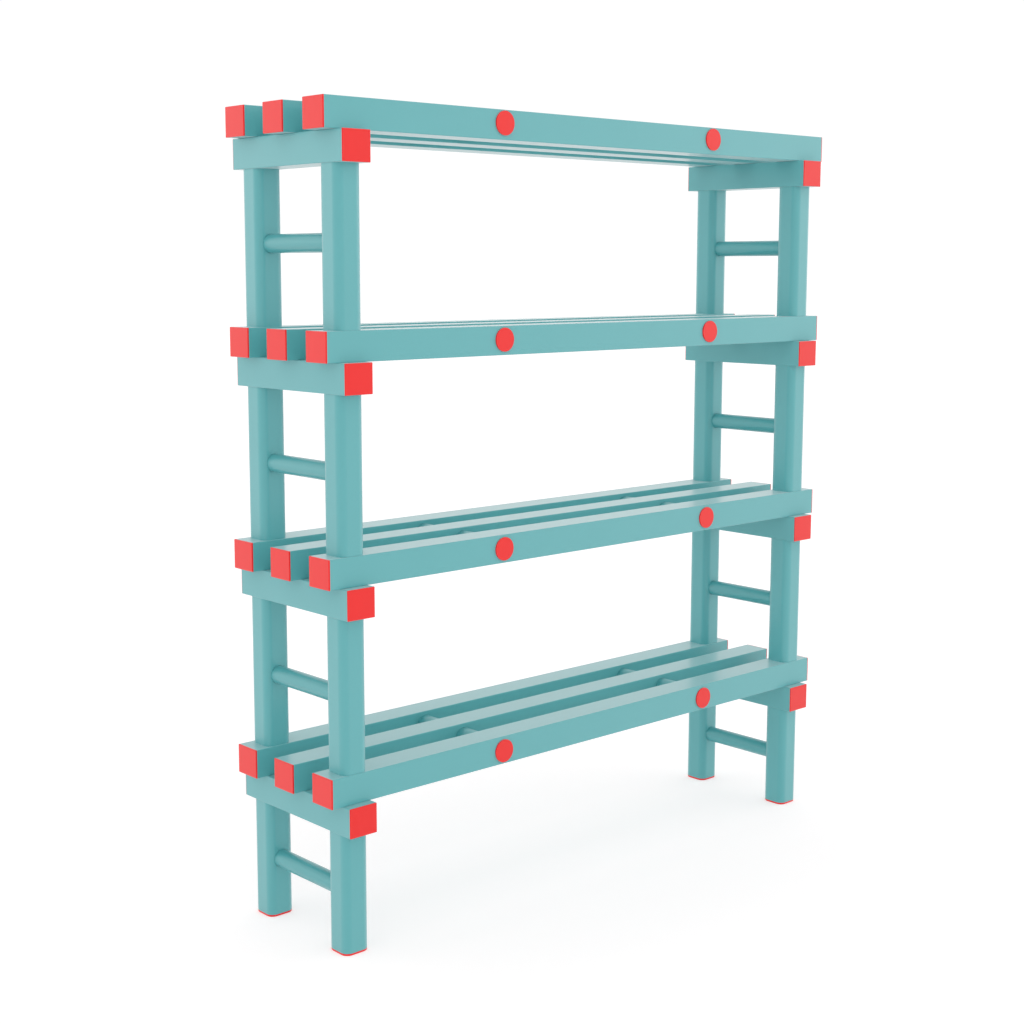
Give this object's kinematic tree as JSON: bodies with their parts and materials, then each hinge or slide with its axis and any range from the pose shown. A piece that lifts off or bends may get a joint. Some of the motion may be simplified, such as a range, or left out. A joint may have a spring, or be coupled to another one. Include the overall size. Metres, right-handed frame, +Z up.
{
  "type": "plastic shelving unit",
  "caption": "Free-standing slatted rack of plugged square plastic tubes on corner posts with ladder ends, open on all sides, with contrasting end caps and foot caps.",
  "frame": {"origin": "on the floor, under the middle of the rack", "axes": "+Z up, +X along the rack to the right as seen from the front, +Y to the back"},
  "size_m": [1.25, 0.3062, 1.3923],
  "materials": {
    "teal_plastic": "satin extruded",
    "red_plastic": "satin moulded"
  },
  "bodies": {
    "root": {"tier_1_front_slat": "teal_plastic", "tier_1_middle_slat": "teal_plastic", "tier_1_back_slat": "teal_plastic", "tier_2_front_slat": "teal_plastic", "tier_2_middle_slat": "teal_plastic", "tier_2_back_slat": "teal_plastic", "tier_3_front_slat": "teal_plastic", "tier_3_middle_slat": "teal_plastic", "tier_3_back_slat": "teal_plastic", "tier_4_front_slat": "teal_plastic", "tier_4_middle_slat": "teal_plastic", "tier_4_back_slat": "teal_plastic", "tier_1_left_crossbar": "teal_plastic", "tier_1_right_crossbar": "teal_plastic", "tier_2_left_crossbar": "teal_plastic", "tier_2_right_crossbar": "teal_plastic", "tier_3_left_crossbar": "teal_plastic", "tier_3_right_crossbar": "teal_plastic", "tier_4_left_crossbar": "teal_plastic", "tier_4_right_crossbar": "teal_plastic", "tier_1_left_dowel": "teal_plastic", "tier_1_right_dowel": "teal_plastic", "tier_2_left_dowel": "teal_plastic", "tier_2_right_dowel": "teal_plastic", "tier_3_left_dowel": "teal_plastic", "tier_3_right_dowel": "teal_plastic", "tier_4_left_dowel": "teal_plastic", "tier_4_right_dowel": "teal_plastic", "bay_1_left_front_post": "teal_plastic", "bay_1_left_back_post": "teal_plastic", "bay_1_right_front_post": "teal_plastic", "bay_1_right_back_post": "teal_plastic", "bay_2_left_front_post": "teal_plastic", "bay_2_left_back_post": "teal_plastic", "bay_2_right_front_post": "teal_plastic", "bay_2_right_back_post": "teal_plastic", "bay_3_left_front_post": "teal_plastic", "bay_3_left_back_post": "teal_plastic", "bay_3_right_front_post": "teal_plastic", "bay_3_right_back_post": "teal_plastic", "bay_4_left_front_post": "teal_plastic", "bay_4_left_back_post": "teal_plastic", "bay_4_right_front_post": "teal_plastic", "bay_4_right_back_post": "teal_plastic", "bay_1_left_rung": "teal_plastic", "bay_1_right_rung": "teal_plastic", "bay_2_left_rung": "teal_plastic", "bay_2_right_rung": "teal_plastic", "bay_3_left_rung": "teal_plastic", "bay_3_right_rung": "teal_plastic", "bay_4_left_rung": "teal_plastic", "bay_4_right_rung": "teal_plastic", "left_slat_caps": "red_plastic", "right_slat_caps": "red_plastic", "front_crossbar_caps": "red_plastic", "back_crossbar_caps": "red_plastic", "front_dowel_plugs": "red_plastic", "back_dowel_plugs": "red_plastic", "joining_spigots": "teal_plastic", "foot_caps": "red_plastic"}
  },
  "joints": []
}
